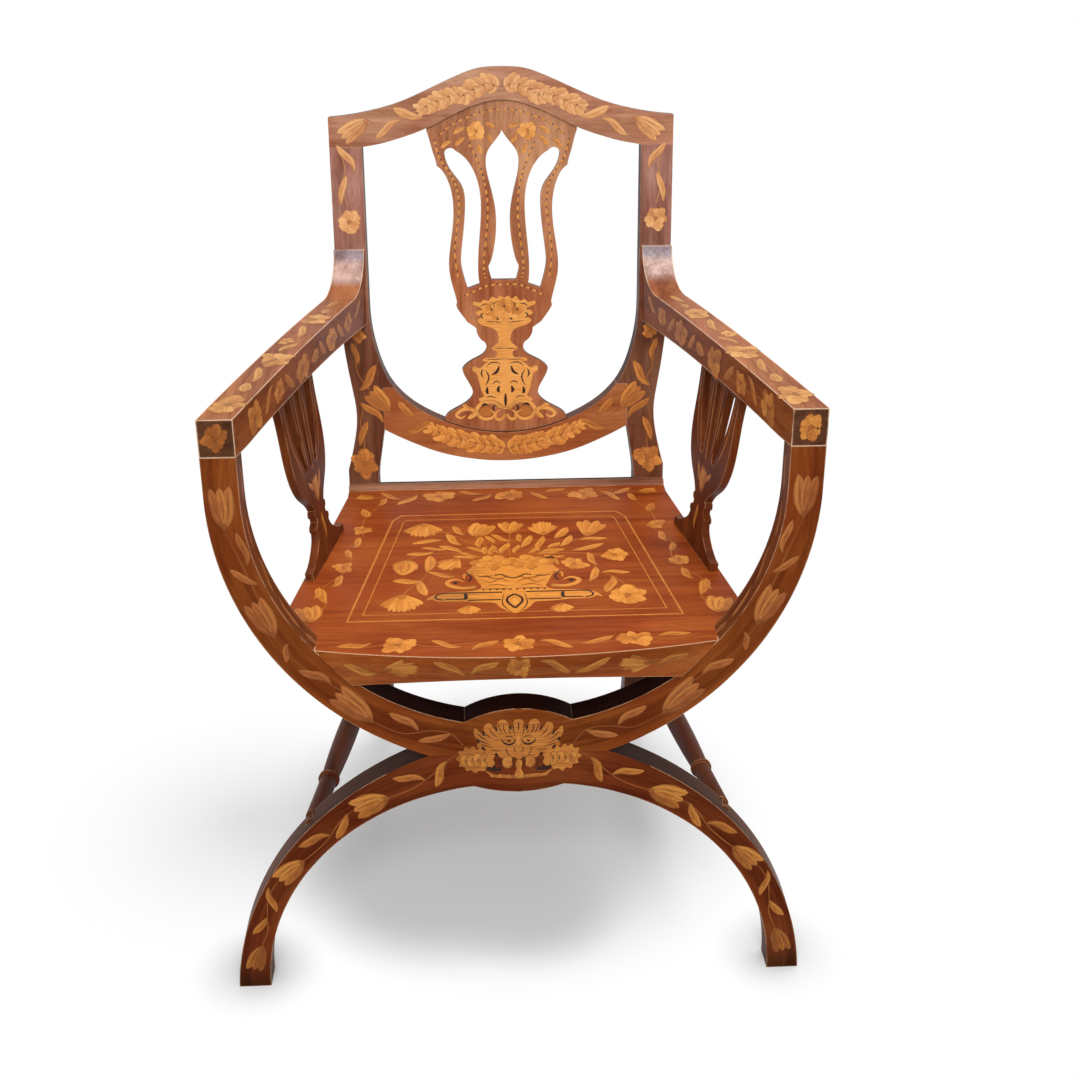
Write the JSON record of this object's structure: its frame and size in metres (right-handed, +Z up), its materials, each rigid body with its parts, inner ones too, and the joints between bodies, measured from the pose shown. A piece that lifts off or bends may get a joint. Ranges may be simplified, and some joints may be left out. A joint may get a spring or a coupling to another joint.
{
  "type": "armchair",
  "caption": "Rigid marquetry armchair on a curved X-shaped front frame, with a flat board seat, shield back, pierced splats and straight arms.",
  "frame": {"origin": "on the floor, under the middle of the chair's box", "axes": "+Z is up, -Y is the way the sitter faces, and X runs across the chair, which is symmetrical about X = 0"},
  "size_m": [0.676, 0.59, 1.01],
  "materials": {
    "mahogany": "French-polished mahogany",
    "satinwood": "polished satinwood and boxwood inlay",
    "oak": "plain unfinished oak",
    "steel": "dull steel"
  },
  "bodies": {
    "root": {"front_post_right": "mahogany", "front_post_left": "mahogany", "front_leg_right": "mahogany", "front_leg_left": "mahogany", "frame_dowels": "oak", "front_rail": "mahogany", "side_rail_right": "mahogany", "side_rail_left": "mahogany", "rear_rail": "mahogany", "corner_block_front_right": "oak", "corner_block_front_left": "oak", "corner_block_rear_right": "oak", "corner_block_rear_left": "oak", "seat_screws": "steel", "seat_board": "mahogany", "seat_inlay_line": "satinwood", "seat_inlay_fine_line": "satinwood", "seat_bead": "mahogany", "rear_post_right": "mahogany", "rear_post_left": "mahogany", "crest_rail": "mahogany", "shield_rail": "mahogany", "back_splat": "mahogany", "arm_right": "mahogany", "arm_left": "mahogany", "arm_screws": "steel", "arm_splat_right": "mahogany", "arm_splat_left": "mahogany", "side_stretcher_right": "mahogany", "side_stretcher_left": "mahogany"}
  },
  "joints": []
}
